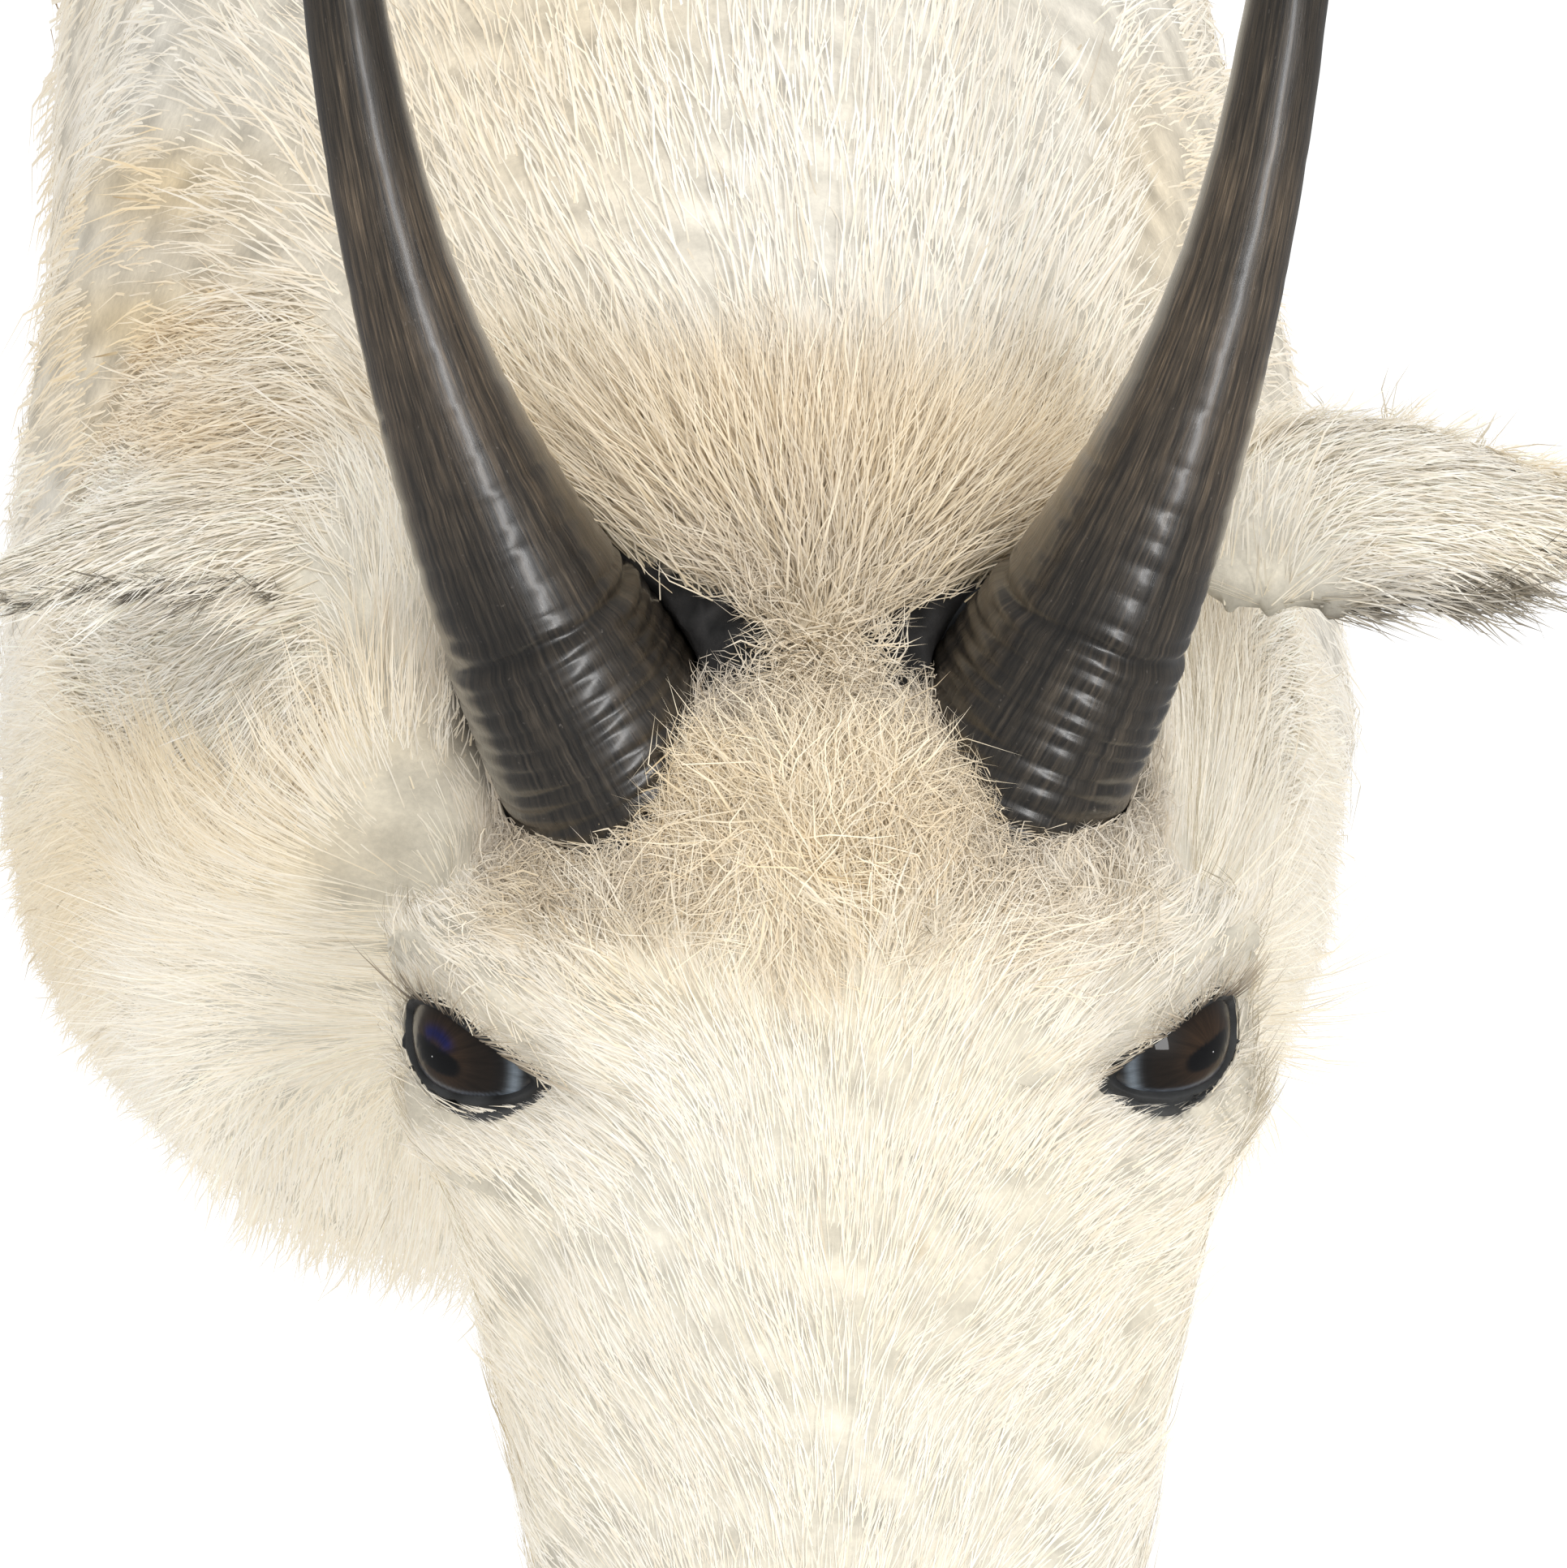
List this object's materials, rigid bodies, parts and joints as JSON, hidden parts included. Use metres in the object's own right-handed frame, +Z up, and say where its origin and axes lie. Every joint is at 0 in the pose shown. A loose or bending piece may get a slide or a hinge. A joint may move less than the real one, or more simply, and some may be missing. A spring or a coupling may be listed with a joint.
{
  "type": "mountain goat shoulder mount",
  "caption": "White-furred mountain goat head, neck and shoulders on a form with dark ringed horns, glass eyes and a plywood back board that hangs on a wall.",
  "frame": {"origin": "middle of the back board's wall face", "axes": "+Z up, +Y into the wall, +X to the viewer's right; the goat looks toward -Y"},
  "size_m": [0.2976, 0.6066, 0.5269],
  "materials": {
    "fur": "long soft cream-white goat hair",
    "skin": "bare charcoal skin of lids, nose, lips and horn glands",
    "horn": "semi-gloss black-brown horn with rings and lengthwise grain",
    "eye": "polished dark brown glass eye",
    "plywood": "bare sanded plywood",
    "steel": "zinc-plated steel"
  },
  "bodies": {
    "root": {"cape": "fur", "horn_left": "horn", "horn_right": "horn", "eye_left": "eye", "eye_right": "eye", "back_board": "plywood", "hanger_plate": "steel", "hanger_screw_top": "steel", "hanger_screw_bottom": "steel", "board_screw_1": "steel", "board_screw_2": "steel", "board_screw_3": "steel", "board_screw_4": "steel"}
  },
  "joints": []
}
